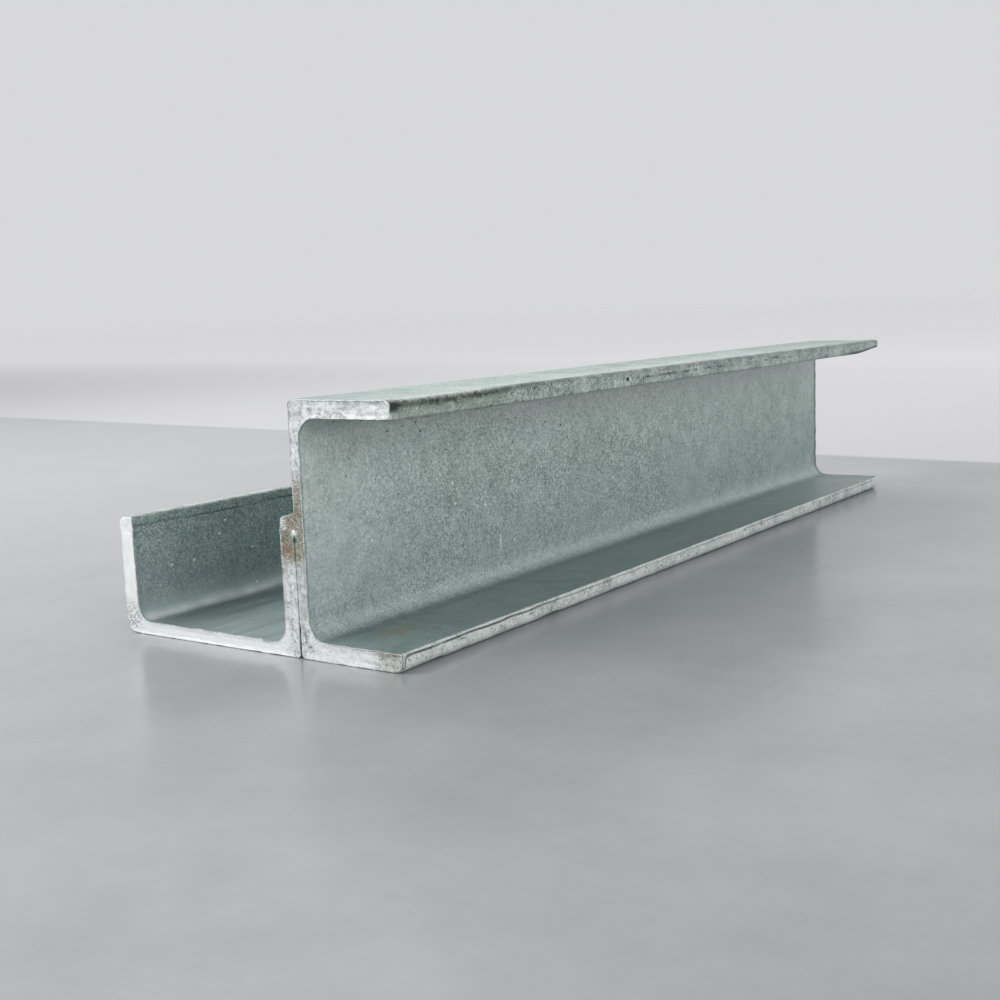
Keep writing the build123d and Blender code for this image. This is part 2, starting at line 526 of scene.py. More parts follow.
def channelSkin(place, coat, edgeRound, endStain):
    # place turns section and length into the frame, coat gives the relief and stains of a face,
    # edgeRound how far zinc rounds the sawn edge, and endStain the stains on the ends
    size = rolledSection
    outer, inner, toeLow, toeHigh = sectionRows()
    last = len(outer) - 1
    across = len(toeLow) - 1
    innerStart = last + across     # where the inner side starts in the loop
    thick = size["flangeThick"]
    # each point has how far it lies from the flange's inner side, for the toes
    loop = [("outer", p, 0.0) for p in outer]
    loop += [("toeHigh", toeHigh[j], toeHigh[j][1] - depth + thick) for j in range(1, across)]
    loop += [("inner", p, 0.0) for p in reversed(inner)]
    loop += [("toeLow", toeLow[j], thick - toeLow[j][1]) for j in range(across - 1, 0, -1)]
    count = len(loop)
    points = np.array([p for _, p, _ in loop])
    travel = np.roll(points, -1, 0) - np.roll(points, 1, 0)
    travel /= np.linalg.norm(travel, axis=1)[:, None]
    normals = np.stack([-travel[:, 1], travel[:, 0]], 1)
    rounds = [edgeRound(kind, u, v) for kind, (u, v), _ in loop]
    # the strip's own coordinates: distance along the middle of the steel, and across it
    middles = (np.array(outer) + np.array(inner)) / 2
    runs = np.concatenate([[0], np.cumsum(np.linalg.norm(np.diff(middles, axis=0), axis=1))])
    stripRun = list(runs) + [runs[-1]] * (across - 1) + list(runs[::-1]) + [0.0] * (across - 1)
    toeAcross = [thick * j / across for j in range(1, across)]
    stripAcross = [0.0] * (last + 1) + toeAcross + [thick] * (last + 1) + toeAcross[::-1]
    skin = newSkin()
    stations = stationRows()
    for y in stations:
        fromEnd = min(y - nearEnd, farEnd - y)
        for j, (kind, (u, v), toeDepth) in enumerate(loop):
            stains = {"stripRun": stripRun[j] * mm, "stripAcross": stripAcross[j] * mm}
            height = coat(stains, kind, u, v, y, toeDepth) - rounding(rounds[j], fromEnd)
            if fromEnd < size["endReach"]:
                stains.update(endStain(u, v, y), **(size["innerRim"] if kind == "inner" else {}))
            addVert(skin, place(u + normals[j, 0] * height, v + normals[j, 1] * height, y), **stains)
    for i in range(len(stations) - 1):
        atEnd = i < size["wrapRows"] or i >= len(stations) - 1 - size["wrapRows"]
        for j in range(count):
            nextJ = (j + 1) % count
            isToe = last <= j < innerStart or j >= innerStart + last
            addFace(skin, (i * count + j, i * count + nextJ, (i + 1) * count + nextJ, (i + 1) * count + j),
                    onEnd if atEnd else onToe if isToe else onFace)
    # end caps: rows across the steel, the first and last of which are the toes' contours
    for station, y, inward in ((0, nearEnd, 1), (len(stations) - 1, farEnd, -1)):
        ring = station * count
        grid = []
        for k in range(last + 1):
            row = [ring + k]
            for j in range(1, across):
                share = j / across
                u = outer[k][0] * (1 - share) + inner[k][0] * share
                v = outer[k][1] * (1 - share) + inner[k][1] * share
                dent = size["sawnDent"] * (1 + waves(u, v, y, 4.5) + 0.5 * waves(u, v, y, 1.9))
                dent *= ease(0, 0.3, min(share, 1 - share))
                dent *= 1 + size["toeDent"] * ease(width - 26, width - 8, u)
                if k == 0:
                    row.append(ring + count - j)
                elif k == last:
                    row.append(ring + last + j)
                else:
                    row.append(addVert(skin, place(u, v, y + inward * dent), stripRun=runs[k] * mm,
                               stripAcross=share * thick * mm, **endStain(u, v, y)))
            grid.append(row + [ring + innerStart + last - k])
        for k in range(last):
            for j in range(across):
                addFace(skin, (grid[k][j], grid[k + 1][j], grid[k + 1][j + 1], grid[k][j + 1]), onEnd)
    return skin


# The coat on the seam between the channels, and on the sawn edges, in mm
seamCoat = {
    "heights": (14, 48),       # the seam lies open to the zinc between these
    "fill": 0.12,              # at the near end zinc all but closes it
    "weldHeights": (46, 58),
    "sharpEdge": 0.08,         # rounding of the sawn edge where the weld sits
    "seamEdge": 0.15,          # along the seam
    "heelEdge": 0.5,
    "floorEdge": 0.2,          # under the post
    "plainEdge": 0.55,         # elsewhere, and how uneven it is there
    "unevenEdge": 0.35,
}


def seamFill(run, height):
    return seamCoat["fill"] * ease(9, 4, run) * ease(42, 36, height)


def plainCoat(coat, kind, u, v, y):
    # slow waves all over, lumps along the sawn edges, and smaller lumps along the toes
    shift, seed = coat["seed"]
    height = coat["swell"] * waves(u + shift, v, y, 26.0) + 0.03 * waves(u + shift, v, y, 7.0)
    height += coat["endLump"] * ease(3.5, 0.4, min(y - nearEnd, farEnd - y)) * waves(u, v, seed, 3.2)
    if kind.startswith("toe"):
        height += coat["toeLump"] * waves(u * 2, v * 2, y, 6.0) + coat["fineLump"] * waves(u, v, y, 2.4)
    return height


# Relief and stains on the standing channel, in mm from the near end where a place is given.
standingCoat = {
    "seed": (0, 3.1),
    "swell": 0.09,             # slow waves in the coat
    "endLump": 0.3,            # zinc that set in lumps along the sawn edges
    "toeLump": 0.11,           # and along the toes
    "fineLump": 0.08,
    "grit": 0.5,
    "cornerFill": 0.7,         # zinc fills out the high toe's upper corner
    "lipGroove": 0.8,          # depth of the groove under the low toe's lip
    "lipGrooveDrop": 1.35,     # how far it runs below the lip's top
    "lipGrooveRun": 125.0,     # how far it runs along the post
    "grooveWidth": 0.75,
    "endGroove": 1.7,          # the same groove bends down beside the near end
    "grooveBend": 2.2,
    # lumps under the top flange: place, height, half length
    "runLumps": [(4, 0.55, 5), (13, 0.4, 4), (24, 0.5, 6), (37, 0.3, 5), (58, 0.35, 7)],
    # pits along the toes: place, depth, half length, height on the toe
    "highPits": [(3, 0.8, 4.0, 5.0), (33, 0.5, 3.2, 5.0), (39, 0.4, 2.6, 4.0), (66, 0.4, 5.0, 5.6),
                 (112, 0.3, 2.4, 3.0), (173, 0.6, 3.2, 3.6), (345, 0.3, 7.0, 4.6)],
    "lowPits": [(38, 0.4, 2.0, 2.4), (86, 0.5, 2.2, 3.0), (104, 0.4, 2.0, 1.9), (150, 0.4, 2.2, 2.0),
                (236, 0.6, 1.6, 1.6), (300, 0.5, 2.5, 2.2), (322, 0.4, 2.5, 2.2)],
    "deepPit": (173, 3.6),            # a deep pit in the high toe, with a near black drop painted as its shade: place and height on the toe
    "dashes": (160, 380),             # a broken dark line runs along the high toe between these places
    "rustPatch": (26, 25.5, 14, 8),   # on the low flange: place along and across, and half sizes
    # white flecks and dark specks on the web: place and height, and sizes
    "flecks": [(15, 82), (86, 61), (95, 56), (124, 65), (119, 43), (96, 47), (39, 40), (235, 41),
               (312, 55)],
    "fleckSize": (0.6, 0.85),
    "specks": [(20, 90), (33, 93), (58, 90), (71, 85), (74, 81), (84, 93), (94, 92), (108, 88), (126, 93),
               (150, 87), (171, 76), (185, 73), (210, 90), (52, 83), (140, 80)],
    "speckSize": (0.4, 0.7),
    "scratch": (130, 24.5, 4.0),      # place, height and half length of a thin raised run of zinc
    "dross": (24, (20, 88), (10.4, 509.6), (0.2, 0.4)),     # more pimples: count, heights, places, sizes
    "drossStretch": [1, 1, 1.4, 2.2],
}


def pitsAt(pits, run, toeDepth, reach):
    # depth of the pits at a place on a toe, and how much of one shows there
    shares = [ridge(run, place, half) * ridge(toeDepth, level, reach) for place, _, half, level in pits]
    return sum(pit[1] * share for pit, share in zip(pits, shares)), max(shares)


def coatOnLowToe(stains, u, v, y, toeDepth):
    coat = standingCoat
    run = y - nearEnd
    # a pale coat, with a painted highlight along the lip at the top
    bloom = 0.9 + 0.2 * ease(150, 50, run) + 0.4 * waves(u, v, y, 16.0) + 0.4 * ease(1.0, 0.2, toeDepth)
    # groove under the lip, broken up along its run, and its turn beside the near end, painted dark as its
    # shade
    broken = ease(-0.45, 0.0, waves(3.0, v, y, 17.0)) * (1 - 0.6 * ease(60, coat["lipGrooveRun"], run))
    fromLip = toeDepth - coat["lipGrooveDrop"] - 0.5 * waves(5, 2, y, 12.0)
    fromTurn = run - coat["endGroove"]
    bend = coat["grooveBend"]
    away = [coat["grooveWidth"]]
    if fromTurn > bend:
        away.append(abs(fromLip))
    if fromLip > bend:
        away.append(abs(fromTurn))
    if max(fromTurn, fromLip) < bend:
        away.append(abs(math.hypot(bend - fromTurn, bend - fromLip) - bend))
    groove = ridge(min(away), 0, coat["grooveWidth"]) * (broken if fromTurn > bend else 1)
    hollow = 0.3 * ease(0.0, 0.5, waves(1, 4, y, 21.0)) * ease(0.3, 1.2, toeDepth)
    pitDepth, pit = pitsAt(coat["lowPits"], run, toeDepth, 0.9)
    # painted shade dulls the foot's rounding towards the floor, and darkens the groove and the pits
    stains.update(bloom=bloom, dull=0.18 * ease(4.8, 6.8, toeDepth), crevice=max(groove, 0.9 * pit))
    return -coat["lipGroove"] * groove - hollow - pitDepth


def coatOnHighToe(stains, u, v, y, toeDepth):
    coat = standingCoat
    run, toFar = y - nearEnd, farEnd - y
    # dull near the sawn end, but for the rounded upper edge, which has a painted highlight there
    upper = ease(5.8, 6.8, toeDepth) * ease(100, 50, run)
    dull = ease(95, 50, run) * (0.9 + 0.3 * waves(u, v, y, 30.0))
    bloom = max((0.05 + 0.5 * waves(u, v, y, 24.0)) * (1 - dull), 0.7 * upper)
    # painted shade: a dark line under the upper edge, and a dark blotch in the gap at the near corner
    line = ridge(toeDepth, 6.4 - 1.3 * ease(100, 40, run), 1.6) * (0.65 + 0.5 * waves(2, 7, y, 9.0))
    line *= 1 - 0.55 * ease(50, 150, run)
    corner = 0.9 * ease(8, 3, run) * ease(2.0, 4.2, toeDepth) * (1 - 0.6 * upper)
    # pits, painted dark as their shade
    pitDepth, pit = pitsAt(coat["highPits"], run, toeDepth, 1.4)
    pit *= 0.8 + 0.4 * waves(u, v, y, 2.0)
    start, stop = coat["dashes"]
    dash = ridge(toeDepth, 3.8 + 0.9 * waves(6, 3, y, 26.0), 0.8) * ease(-0.05, 0.3, waves(4, 1, y, 5.5))
    dash *= 0.7 * ease(start, start + 20, run) * ease(stop, stop - 30, run)
    # dark along the lower edge towards the far tip
    tip = max(0.75 * ease(2.6, 1.0, toeDepth) * ease(75, 50, toFar), 0.6 * ease(9, 3, toFar))
    stains.update(bloom=bloom, dull=dull * (1 - upper), crevice=max(line, corner, pit, dash, tip))
    return coat["cornerFill"] * ridge(toeDepth, 6.2, 2.6) - pitDepth


def coatInStanding(stains, u, v, y):
    coat = standingCoat
    run, toFar = y - nearEnd, farEnd - y
    bloom = dull = pepper = height = 0.0
    grit = coat["grit"]
    if v > depth / 2:
        nearToe = ease(width - 9, width - 1, u)
        height = nearToe * sum(lump * ridge(run, place, half) for place, lump, half in coat["runLumps"])
    if u < width / 3:
        # the web is smooth, and peppered with pin holes under the top flange
        # painted light lifts the shade under the top flange and brightens the web towards the near end
        bloom = 0.25 * ease(75, 5, run) * ease(12, 30, v) * ease(92, 70, v)
        bloom += 0.05 * ease(22, 45, v) + 0.18 * ease(60, 84, v) + 0.2 * ease(74, 90, v)
        bloom += 0.12 * ease(45, 75, v) * ease(90, 220, run) + 0.1 * ridge(v, 62, 14) * ease(200, 120, run)
        dull = 0.06 * ridge(v, 32, 14) * ease(120, 220, run)
        pepper = ease(55, 86, v) * (0.3 + 0.7 * ease(260, 40, run))
        grit = 0.58 + 0.12 * ease(8, 80, run) - 0.3 * ease(230, 460, run) + 0.2 * waves(u, v, y, 35.0)
    if v < depth / 2:
        # a painted highlight in a band over the root, painted shade in it, and the low flange dark and
        # smooth
        onFlange = ease(9.7, 11.5, u)
        bloom += 0.05 * ridge(v, 17, 8) * ease(9, 6, u) + 0.28 * ridge(u, 7.6, 2.9)
        # painted light on the low flange towards the far end
        bloom += onFlange * 0.18 * ease(280, 430, run)
        # painted shade in the root, and on the low flange, partly its dark coat and partly shade under the
        # top flange
        dull += 0.22 * ridge(u, 13.5, 6) * (1 - 0.4 * ease(150, 420, run))
        dull += onFlange * (0.31 - 0.14 * ease(150, 420, run) - 0.12 * ease(400, 480, run))
        dull += onFlange * 0.35 * ease(24, 14, toFar)
        grit -= onFlange * 0.2
        along, across, halfLength, halfWidth = coat["rustPatch"]
        patch = ridge(run, along, halfLength) * ridge(u, across, halfWidth) * ease(5, 9, u)
        stains["rust"] = patch * (0.75 + 0.8 * waves(u, v, y, 4.0))
    farRim = 0.6 * ease(5, 2, toFar)     # dark rim at the far end
    stains.update(crevice=farRim, bloom=bloom, dull=dull, pepper=pepper, grit=grit)
    return height


def coatOnTopFace(stains, u, v, y):
    run = y - nearEnd
    bloom = 0.02 + 0.34 * ease(14, 44, u) - 0.12 * ease(250, 480, run)
    bloom += 0.2 * waves(u, v, y, 22.0) + 0.25 * waves(u, v, y, 7.0)
    dull = 0.3 * ease(80, 10, run) + 0.3 * ease(360, 450, run) * ease(width - 10, width - 4, u)
    stains.update(bloom=bloom, dull=dull, grit=0.8)


def coatOnStanding(stains, kind, u, v, y, toeDepth):
    seamLow, seamHigh = seamCoat["heights"]
    height = plainCoat(standingCoat, kind, u, v, y)
    stains["grit"] = standingCoat["grit"]
    if kind == "toeLow":
        height += coatOnLowToe(stains, u, v, y, toeDepth)
    elif kind == "toeHigh":
        height += coatOnHighToe(stains, u, v, y, toeDepth)
    elif kind == "inner":
        height += coatInStanding(stains, u, v, y)
    elif v > depth - 1:
        coatOnTopFace(stains, u, v, y)
    elif u < 0.1 and seamLow < v < seamHigh:
        height = seamFill(y - nearEnd, v)
    return height


# The lying channel: its low side is the flange away from the seam, its high side the flange at the seam.
lyingCoat = {
    "seed": (80, 8.4),
    "swell": 0.09,
    "endLump": 0.3,
    "toeLump": 0.14,
    "fineLump": 0.06,
    "grit": 0.5,
    "lapLine": 4.5,            # a rolling lap runs along inside the toe
    "lapWidth": 0.55,
    "lapDepth": 0.3,
    "endLip": 0.6,             # zinc sets in a lip at the near end
    "flecks": [(69, 25.7), (33, 25.6), (20, 25.7), (53, 40.5), (95, 33)],     # larger pimples
    "fleckSize": (0.35, 0.75, 0.6),
    # pimples of dross, and fine ones near the end: count, heights, places, sizes
    "dross": [(12, (18, 44), (10.4, 509.6), (0.2, 0.45)), (75, (22, 47), (3, 62), (0.12, 0.33))],
}


def coatOnLying(stains, kind, u, v, y, toeDepth):
    coat = lyingCoat
    run = y - nearEnd
    seamLow, seamHigh = seamCoat["heights"]
    height = plainCoat(coat, kind, u, v, y)
    stains["grit"] = coat["grit"]
    if kind.startswith("toe"):
        stains["bloom"] = 0.35 + 0.3 * waves(u, v, y, 20.0)
    elif kind == "inner":
        lap = ridge(u, width - coat["lapLine"] - 0.8 * waves(0, 0, y, 60.0), coat["lapWidth"])
        lap *= ease(-0.7, -0.2, waves(7.0, v, y, 14.0))
        height -= coat["lapDepth"] * lap
        # the flanges are gritty, the web between them smooth, and a painted highlight runs along the root
        grit = 0.15 + (0.75 + 0.5 * ease(22, 38, u)) * ease(9, 15, u) * (1 + 0.6 * waves(u, v, y, 7.0))
        dull = 0.48 + 0.2 * ridge(v, 22, 7) + 0.33 * waves(v, 0, y / 10, 5.0)
        dull *= ease(9, 6, u) * ease(11, 16, v)
        bloom = (0.65 + 0.4 * waves(u, v, y, 9.0)) * ridge(v, 11.2, 3.3) * ease(13, 9, u)
        bloom += 0.12 * ridge(u, 13, 5) * ease(20, 14, v)
        # painted shade darkens the lap's groove
        stains.update(crevice=lap, bloom=bloom, dull=dull, pepper=0.1 * ease(14, 22, u), grit=grit)
        if v < depth - 20:
            height += coat["endLip"] * ease(3.0, 0.6, run) * (1 + 0.4 * waves(u, v, 2.2, 6.0))
    elif v > depth - 0.1 and seamLow < u < seamHigh:
        height = seamFill(run, u)
    return height


def standingEdge(kind, u, v):
    edge = seamCoat
    weldLow, weldHigh = edge["weldHeights"]
    if kind == "outer" and u < 0.1 and v < weldHigh:
        return edge["sharpEdge" if v > weldLow else "seamEdge" if v > edge["heights"][0] else "heelEdge"]
    if kind == "outer" and v < 0.1:
        return edge["floorEdge"]
    toe = edge["unevenEdge"] * ease(width - 6, width - 1, u)
    return edge["plainEdge"] + toe + (edge["unevenEdge"] - toe) * waves(u, v, 1.7, 4.0)


def lyingEdge(kind, u, v):
    edge = seamCoat
    seamLow, seamHigh = edge["heights"]
    if kind == "toeHigh":
        return edge["sharpEdge"]
    if kind == "outer" and v < 0.1:
        return edge["heelEdge"] + 0.2 * waves(u, v, 6.2, 7.0)
    if kind == "outer" and u < 0.1:
        return edge["floorEdge"]
    if kind == "outer" and v > depth - 0.1 and u < seamHigh:
        return edge["seamEdge" if u > seamLow else "heelEdge"]
    return edge["plainEdge"] + edge["unevenEdge"] * waves(u, v, 6.2, 4.0)


def standingEndStain(u, v, y):
    # rust bleeds up and down the web's end beside the weld, and stains the low flange's toe
    webBleed = ease(35, 40, v) * ease(72, 66, v) * ease(4.7, 3.9, u)
    webBleed *= max(ease(0.3, 1.0, u), ease(59, 57, v))
    toeBleed = 0.4 * ease(width - 17, width - 7, u) * ease(12, 8, v)
    rust = max(0.78 * webBleed, toeBleed) * (1 if y < 0 else 0.5)
    bloom = max(0.1 * ease(depth - 10, depth - 7, v), 0.55 * ease(10, 7, v) * ease(4, 10, u) - 2 * toeBleed)
    dull = 0.6 * ease(13, 17, v) * ease(40, 34, v) * ease(6, 5, u)
    return {"rust": rust, "bloom": bloom, "dull": dull, "pepper": 0.0}


def lyingEndStain(u, v, y):
    # the same bleed on the flange that carries the weld; the other flange's end is the whitest
    flangeFoot = depth - rolledSection["flangeThick"]
    rust = ease(35, 41, u) * ease(flangeFoot + 0.4, flangeFoot + 1.4, v) * (1 if y < 0 else 0.5)
    bloom = max(0.8 * ease(9, 7, v) * ease(3, 9, u), 0.85 * ease(9, 7, u) * ease(98, 90, v))
    dull = 0.15 * ease(10, 15, u) * ease(38, 33, u) * ease(flangeFoot - 1, flangeFoot, v)
    pepper = 0.8 * ease(9, 3, math.hypot(u - 7, v - 3))
    return {"rust": rust, "bloom": bloom, "dull": dull, "pepper": pepper}


# Wear at the post's ends, in mm
postWear = {
    "farCorner": 6.0,     # the far end's toes are rounded in plan
    "farThin": 0.35,      # share by which the top flange's toe thins out to its far tip
    "heel": 1.7,          # the lying channel's outer heel is knocked round at the near end
}


def drawnIn(u, y):
    # how far a toe lies back near the far end
    return rounding(postWear["farCorner"], farEnd - y) * ease(width - 14, width - 3, u)


def standingPlace(u, v, y):
    thin = postWear["farThin"] if v > depth / 2 else 0.0
    thin *= ease(45, 0, farEnd - y) * ease(width - 18, width - 4, u)
    return (seamX + u - drawnIn(u, y), y, v + (depth - v) * thin)


def lyingPlace(u, v, y):
    worn = postWear["heel"] * ease(8, 0, math.hypot(u, v)) * ease(10, 0, y - nearEnd)
    return (lyingLow.x + v + worn, y, u + 0.6 * worn - drawnIn(u, y) * ease(depth / 2, depth / 2 - 1, v))


def onWeb(along, height):
    return standingPlace(rolledSection["webThick"], height, nearEnd + along)


def onLyingFlange(along, height):
    return lyingPlace(height, rolledSection["flangeThick"], nearEnd + along)


# Pimples of dross stand on the channels' inner faces, the same ones each run
drossDice = random.Random(7)
standingSkin = channelSkin(standingPlace, coatOnStanding, standingEdge, standingEndStain)
for along, height in standingCoat["flecks"]:
    size = drossDice.uniform(*standingCoat["fleckSize"])
    addDrop(standingSkin, onWeb(along, height), (size * 0.5, size, size * 1.2), onFace, bloom=1.0)
for along, height in standingCoat["specks"]:
    size = drossDice.uniform(*standingCoat["speckSize"])
    addDrop(standingSkin, onWeb(along, height), (0.15, size, size * 0.8), onFace, crevice=1.0)
along, height, halfLength = standingCoat["scratch"]
addDrop(standingSkin, onWeb(along, height), (0.25, 0.4, halfLength), onFace, bloom=0.9)
# a near black drop painted as the shade in the high toe's deep pit, and a bright drop beside it
along, level = standingCoat["deepPit"]
height = depth - rolledSection["flangeThick"] + level
holeShade = standingPlace(width - 0.4, height, nearEnd + along)
bright = standingPlace(width - 0.2, height - 0.3, nearEnd + along + 2.4)
addDrop(standingSkin, holeShade, (0.3, 1.1, 1.2), onToe, crevice=1.0)
addDrop(standingSkin, bright, (0.2, 0.8, 0.7), onToe, bloom=1.0)
count, heights, runs, sizes = standingCoat["dross"]
for _ in range(count):
    height = drossDice.uniform(*heights)
    along = drossDice.uniform(*runs)
    size = drossDice.uniform(*sizes)
    stretch = drossDice.choice(standingCoat["drossStretch"])
    addDrop(standingSkin, onWeb(along, height), (size * 0.5, size, size * stretch), onFace,
            bloom=drossDice.uniform(0.4, 1.0))
lyingSkin = channelSkin(lyingPlace, coatOnLying, lyingEdge, lyingEndStain)
for along, height in lyingCoat["flecks"]:
    addDrop(lyingSkin, onLyingFlange(along, height), lyingCoat["fleckSize"], onFace, bloom=1.0)
for count, heights, runs, sizes in lyingCoat["dross"]:
    for _ in range(count):
        height = drossDice.uniform(*heights)
        along = drossDice.uniform(*runs)
        size = drossDice.uniform(*sizes)
        addDrop(lyingSkin, onLyingFlange(along, height), (size * 0.5, size, size), onFace,
                bloom=drossDice.uniform(0.4, 1.0))
standing = meshPiece("standingChannel", standingSkin, [rolledFace, sawnEnd, toeEdge])
lying = meshPiece("lyingChannel", lyingSkin, [rolledFace, sawnEnd, toeEdge])
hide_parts("standing_channel")
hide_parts("lying_channel")
for piece in (standing, lying):
    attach(piece, "root")
print("channels made:", [len(piece.data.polygons) for piece in (standing, lying)], "faces")


# Stitch of weld on the lying channel's toe, in mm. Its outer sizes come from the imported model.
weldBead = {
    "rise": 2.2,           # from the shoulder up to the web
    "shoulder": 1.5,       # radius of the shoulder
    "ripplePitch": 3.0,
    "rippleHeight": 0.3,
    "rippleBow": 2.2,      # ripples curve along the travel
    "lump": 0.15,
    "sag": 0.25,           # the bead lies lower in places, but for the sawn end
    "runout": 4.6,
    "stationStep": 0.6,
    "endRows": [0.0, 0.1, 0.3, 0.6, 1.0],
    "edgeRound": 0.5,
    "capRings": (0.72, 0.45, 0.2),     # shares of the end's outline
    "capDent": 0.45,
    "sink": 0.2,           # the bead's edges lie this far inside the steel
    "rootStop": 1.8,       # the root stays open this far above the groove's foot
    "dropPlace": (-0.3, 0.4, -0.75),   # from the seam, the near end and the toe
    "dropSize": (1.15, 0.45, 1.5),
    "cutBleed": 0.75,      # rust beside the sawn end, along the bead and on the end
    "runBleed": 0.35,
    "endBleed": 0.85,
}


def beadFace(left, top):
    # the bead's bare face from the toe's inner side up, round the shoulder and to the web: place and normal
    bead = weldBead
    radius = bead["shoulder"]
    shoulderZ = top - bead["rise"]
    slope = math.atan2(bead["rise"], seamX - left)
    centreX = left + radius
    centreZ = shoulderZ - radius * (1 - math.sin(slope)) / math.cos(slope)
    face = [(left, z, math.pi) for z in np.linspace(toeZ - bead["sink"], centreZ, 7)[:-1]]
    for turn in np.linspace(math.pi, math.pi / 2 + slope, 7):
        face.append((centreX + radius * math.cos(turn), centreZ + radius * math.sin(turn), turn))
    startX, startZ, turn = face[-1]
    face += [(x, z, turn) for x, z in lineRow((startX, startZ), (seamX, top), np.linspace(0, 1, 10)[1:])]
    return face


def bandFaces(skin, ringA, ringB, material):
    # a closed band of faces between two rings
    for j in range(len(ringA)):
        nextJ = (j + 1) % len(ringA)
        addFace(skin, (ringA[j], ringA[nextJ], ringB[nextJ], ringB[j]), material)


def weldSkin(node):
    bead = weldBead
    low, high = [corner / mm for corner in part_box(node)]
    toeOut = rolledSection["toeOuterRadius"]
    face = beadFace(low.x, high.z)
    atNear, atFar = low.y - nearEnd < 0.1, farEnd - high.y < 0.1
    margin = bead["endRows"][-1]
    middle = high.y - low.y - 2 * margin
    steps = round(middle / bead["stationStep"])
    stations = [low.y + row for row in bead["endRows"]]
    stations += [low.y + margin + middle * (i + 1) / steps for i in range(steps - 1)]
    stations += [high.y - row for row in reversed(bead["endRows"])]
    # the bead's underside fills the groove down to the open root and lies inside the toe
    sinkX, sinkZ, foot = seamX + bead["sink"], toeZ - bead["sink"], toeZ - toeOut + bead["rootStop"]
    underside = [(sinkX, foot), (lyingRight, foot - 0.2), (lyingRight - toeOut * 0.4, toeZ - 0.9),
                 (lyingRight - toeOut, sinkZ), (low.x + 1.2, sinkZ)]
    skin = newSkin()
    rings = []
    for y in stations:
        fromStart = bead["runout"] if atNear else y - low.y
        fromStop = bead["runout"] if atFar else high.y - y
        swell = math.sqrt(ease(-0.3, bead["runout"], min(fromStart, fromStop)))
        fromCut = min(y - low.y if atNear else 99, high.y - y if atFar else 99)
        lower = rounding(bead["edgeRound"], fromCut)
        lower += bead["sag"] * (1 + waves(3, y, 1, 9.0)) * ease(0.5, 3.0, fromCut)
        ring = []
        for j, (x, z, turn) in enumerate(face):
            share = j / (len(face) - 1)
            free = min(1, 6 * share, 6 * (1 - share))     # relief dies out at the bead's edges
            phase = (y + bead["rippleBow"] * math.sin(math.pi * share)) / bead["ripplePitch"]
            ripple = abs(math.sin(math.pi * phase)) ** 0.7 - 1
            lift = bead["rippleHeight"] * ripple + bead["lump"] * (waves(x, y, z, 2.5) - 0.5) - lower
            x += math.cos(turn) * lift * free
            z += math.sin(turn) * lift * free
            ring.append((min(x, seamX), y, toeZ + (z - toeZ) * (swell if z > toeZ else 1)))
        ring[-1] = (sinkX, y, ring[-1][2])
        ring += [(x, y, z) for x, z in underside]
        bleed = max(bead["cutBleed"] * ease(3, 0.5, fromCut), bead["runBleed"] * waves(1, y, 9, 8.0))
        rings.append([addVert(skin, place, rust=bleed * ease(low.x + 1, low.x + 4, place[0]),
                      stripRun=place[2] * mm, stripAcross=(place[0] - low.x) * mm) for place in ring])
    for ringA, ringB in zip(rings, rings[1:]):
        bandFaces(skin, ringA, ringB, onFace)
    # each end closes with shrinking rings: a dented flat where the post was sawn, a plain tip elsewhere
    for ring, y, sawn, inward in ((rings[0], low.y, atNear, 1), (rings[-1], high.y, atFar, -1)):
        centre = Vector(((low.x + seamX) / 2, 0, toeZ + 1.5 if sawn else toeZ - 1.0))
        edge = [Vector(skin["verts"][index]) for index in ring]
        material = onEnd if sawn else onFace
        outerRing = ring
        for shrink in bead["capRings"]:
            innerRing = []
            for place in edge:
                x = centre.x + (place.x - centre.x) * shrink
                z = centre.z + (place.z - centre.z) * shrink
                dent = bead["capDent"] * (1 - shrink * 0.5) * (1 + 0.5 * waves(x, z, y, 2.5)) * sawn
                bleed = bead["endBleed"] * ease(low.x + 1.2, low.x + 4, x) * sawn
                innerRing.append(addVert(skin, (x, y + inward * dent, z), rust=bleed, stripRun=z * mm,
                                         stripAcross=(x - low.x) * mm))
            bandFaces(skin, outerRing, innerRing, material)
            outerRing = innerRing
        addFace(skin, tuple(outerRing), material)
    if atNear:
        centre = Vector((seamX, nearEnd, toeZ)) + Vector(bead["dropPlace"])
        addDrop(skin, centre, bead["dropSize"], onEnd, stripRun=0.02, bloom=0.9)
    return skin


for number in (1, 2, 3):
    weld = meshPiece(f"toeWeld{number}", weldSkin(f"toe_weld_{number}"), [weldFace, sawnEnd])
    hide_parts(f"toe_weld_{number}")
    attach(weld, "root")
print("welds made")


# Pale studio floor, sealed and slightly glossy, so that the post's foot shows faintly in it. It is
# paler towards the back, past a line that runs at a slant behind the post.
# Painted light makes it a little paler to the left, and far back it glows.
paleFloor = {
    "half": 30.0,                           # metres
    "drop": 0.1,                            # mm below the post
    "patterns": {"cloud": (120.0, 8.0, 0.72, 0.0)},
    "stops": [(0.3, "#88898a"), (0.7, "#9b9c9d")],
    "left": "#b1b2b4",                      # painted light: a little paler to the left
    "leftLightSpan": (0.15, -0.5, 0.0, 0.6),     # places across in metres, and shares there
    "back": "#bcbcbe",
    "backLine": (0.415, 0.435),             # metres behind the middle, where it turns pale
    "slant": 0.1045,
    "farGlow": (0.43, 2.0, 0.0, 0.26),      # metres and strengths: it meets the background without a line
    "roughness": (0.2, 0.5),                # beside the post, and away from it where the lamps would glare
    "glossReach": (0.3, 0.6),               # metres from the middle
}


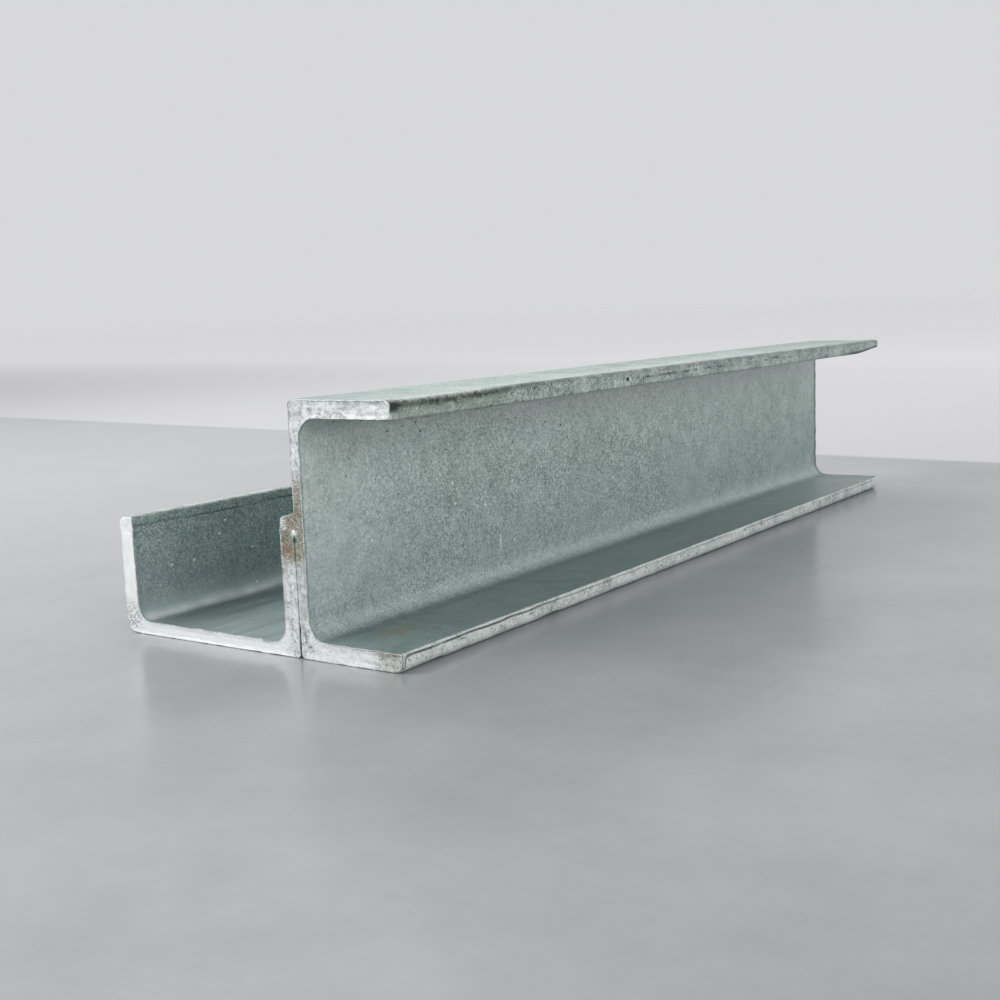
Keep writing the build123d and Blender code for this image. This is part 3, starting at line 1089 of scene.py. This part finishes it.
def makeFloor():
    look = paleFloor
    material, place, (cloud,), _ = startMaterial("paleSealedFloor", look)
    tree = material.node_tree
    shader = tree.nodes["Principled BSDF"]
    colour = addNode(tree, "ValToRGB", {"Fac": cloud}, stops=look["stops"])
    axes = addNode(tree, "SeparateXYZ", [place]).node.outputs
    left = addNode(tree, "MapRange", [axes["X"], *look["leftLightSpan"]])
    # painted light, paler to the left
    colour = layStain(tree, colour, look["left"], left)
    behind = addNode(tree, "Math", [axes["X"], look["slant"], axes["Y"]], operation="MULTIPLY_ADD")
    back = addNode(tree, "MapRange", [behind, *look["backLine"]], interpolation_type="SMOOTHSTEP")
    tree.links.new(layStain(tree, colour, look["back"], back), shader.inputs["Base Color"])
    away = addNode(tree, "VectorMath", [place], out="Value", operation="LENGTH")
    rough = addNode(tree, "MapRange", [away, *look["glossReach"], *look["roughness"]])
    tree.links.new(rough, shader.inputs["Roughness"])
    glow = addNode(tree, "MapRange", [behind, *look["farGlow"]])
    tree.links.new(glow, shader.inputs["Emission Strength"])
    mesh = bpy.data.meshes.new("floor")
    half = look["half"]
    corners = [(-half, -half), (half, -half), (half, half), (-half, half)]
    mesh.from_pydata([(x, y, -look["drop"] * mm) for x, y in corners], [], [(0, 1, 2, 3)])
    mesh.materials.append(material)
    floor = bpy.data.objects.new("floor", mesh)
    bpy.context.scene.collection.objects.link(floor)
    return floor


makeFloor()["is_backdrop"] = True

# Soft studio light: place in metres, aimed at the post, with size in metres and power in watts
studioLights = {
    "keyFrontLeft": {"place": (-1.2, -1.3, 1.2), "size": 1.0, "power": 24},
    "fillRight": {"place": (2.6, -0.9, 0.55), "size": 1.8, "power": 45},
    "topLeft": {"place": (-0.9, 0.35, 1.45), "size": 1.3, "power": 13},
}
for name, light in studioLights.items():
    lamp = bpy.data.lights.new(name, "AREA")
    lamp.size = light["size"]
    lamp.energy = light["power"]
    holder = bpy.data.objects.new(name, lamp)
    holder.visible_camera = False
    holder.location = light["place"]
    holder.rotation_euler = (-Vector(light["place"])).to_track_quat("-Z", "Y").to_euler()
    bpy.context.scene.collection.objects.link(holder)

# Even light from all sides, which is also the background
studioWorld = {"colour": "#e4e4e6", "strength": 0.88}
world = bpy.data.worlds.new("studio")
world.use_nodes = True
world.node_tree.nodes["Background"].inputs["Color"].default_value = linearColour(studioWorld["colour"])
world.node_tree.nodes["Background"].inputs["Strength"].default_value = studioWorld["strength"]
bpy.context.scene.world = world
bpy.context.scene.view_settings.view_transform = "Standard"
print("stage and light made")

# Camera fitted to the photo: mm from the seam at the near end, turns in degrees, focal length in pixels
cameraView = {"fromSeam": (349.25, -365.34, 130.97), "yaw": -34.76, "pitch": -8.23, "roll": -2.21,
              "focal": 1330.4, "pictureWidth": 1000}


def makeCamera():
    view = cameraView
    yaw, pitch, roll = [math.radians(view[turn]) for turn in ("yaw", "pitch", "roll")]
    ahead = Vector((math.sin(yaw) * math.cos(pitch), math.cos(yaw) * math.cos(pitch), math.sin(pitch)))
    right = Vector((math.cos(yaw), -math.sin(yaw), 0))
    up = right.cross(ahead)
    tiltedRight = math.cos(roll) * right + math.sin(roll) * up
    tiltedUp = tiltedRight.cross(ahead)
    lens = bpy.data.cameras.new("photoView")
    lens.sensor_width = 36
    lens.lens = view["focal"] / view["pictureWidth"] * lens.sensor_width
    lens.clip_start = 0.01
    camera = bpy.data.objects.new("photoView", lens)
    turn = Matrix((tiltedRight, tiltedUp, -ahead)).transposed().to_4x4()
    place = Vector(view["fromSeam"]) + Vector((seamX, nearEnd, 0))
    camera.matrix_world = Matrix.Translation(place * mm) @ turn
    bpy.context.scene.collection.objects.link(camera)
    bpy.context.scene.camera = camera


makeCamera()
print("camera set")

sizes = {"cad": [list(corner) for corner in cadBox], "visual": [list(corner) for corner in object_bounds()]}
